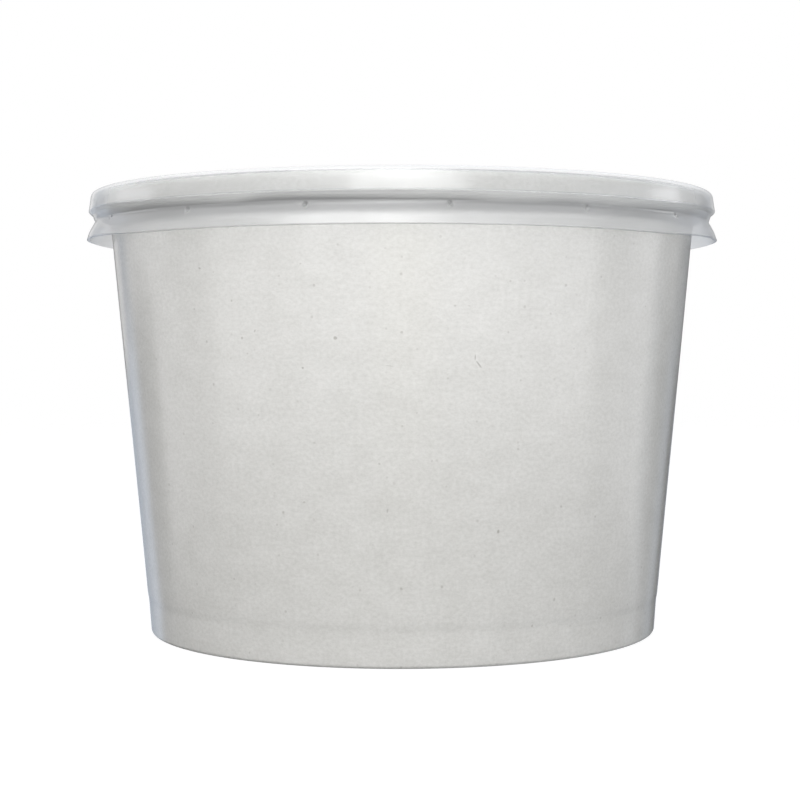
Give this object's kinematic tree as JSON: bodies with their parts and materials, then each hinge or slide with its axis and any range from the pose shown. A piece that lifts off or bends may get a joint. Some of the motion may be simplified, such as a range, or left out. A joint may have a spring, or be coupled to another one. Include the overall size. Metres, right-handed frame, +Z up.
{
  "type": "takeaway soup container",
  "caption": "Round takeaway soup container: a tapered plain paper cup with a rolled rim, closed by a thin translucent press-on lid with a sunk panel and a flared skirt.",
  "frame": {"origin": "centre of the foot, on the surface that the container stands on", "axes": "+Z up along the container's axis; -Y is the side that the picture shows, +X is to its right"},
  "size_m": [0.1156, 0.1156, 0.0796],
  "materials": {
    "paperboard": "satin",
    "lid_plastic": "translucent, slightly frosted"
  },
  "bodies": {
    "root": {"cup": "paperboard", "base_disc": "paperboard", "lid": "lid_plastic"}
  },
  "joints": []
}
